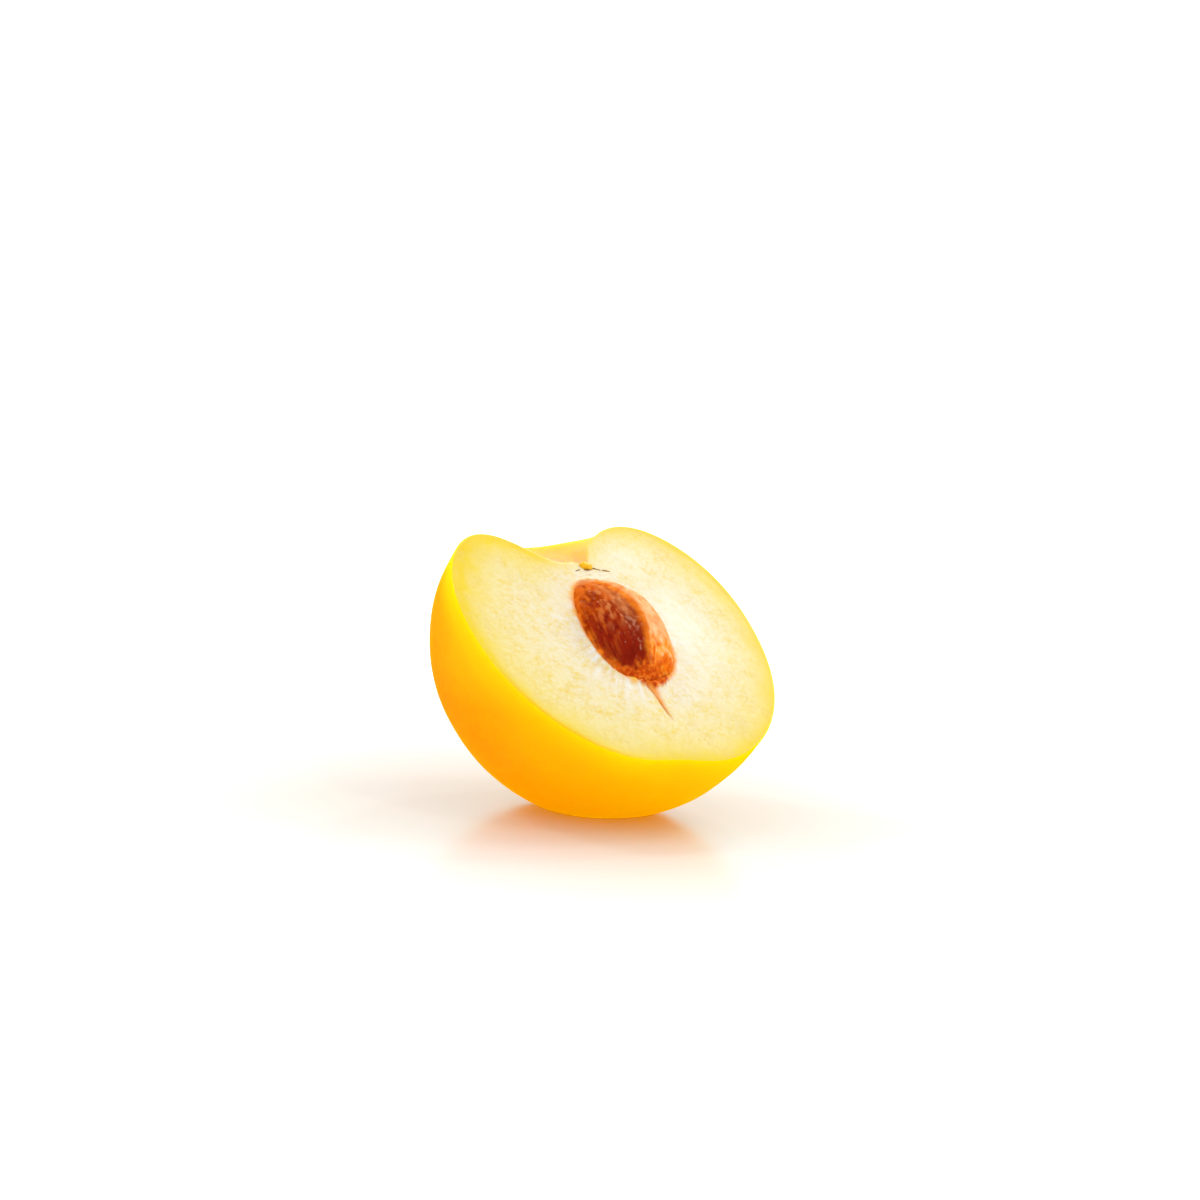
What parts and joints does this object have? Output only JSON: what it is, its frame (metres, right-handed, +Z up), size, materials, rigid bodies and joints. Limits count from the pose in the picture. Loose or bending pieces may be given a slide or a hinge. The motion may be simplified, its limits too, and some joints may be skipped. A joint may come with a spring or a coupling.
{
  "type": "plum half",
  "caption": "Halved yellow plum lying on its skin side, cut face leaning forward, with its stone still in the flesh, keel up.",
  "frame": {"origin": "middle of the flat spot on the skin that the half rests on", "axes": "+Z up, +X to the right across the cut face as seen from the side it faces, +Y to the back, towards the raised stem end; the cut face leans 37 degrees from level towards -Y"},
  "size_m": [0.0535, 0.0487, 0.0401],
  "materials": {
    "skin_and_flesh": "smooth waxy skin round pale wet flesh",
    "stone_shell": "wet pitted stone shell"
  },
  "bodies": {
    "root": {"plum_half": "skin_and_flesh", "stone": "stone_shell"}
  },
  "joints": []
}
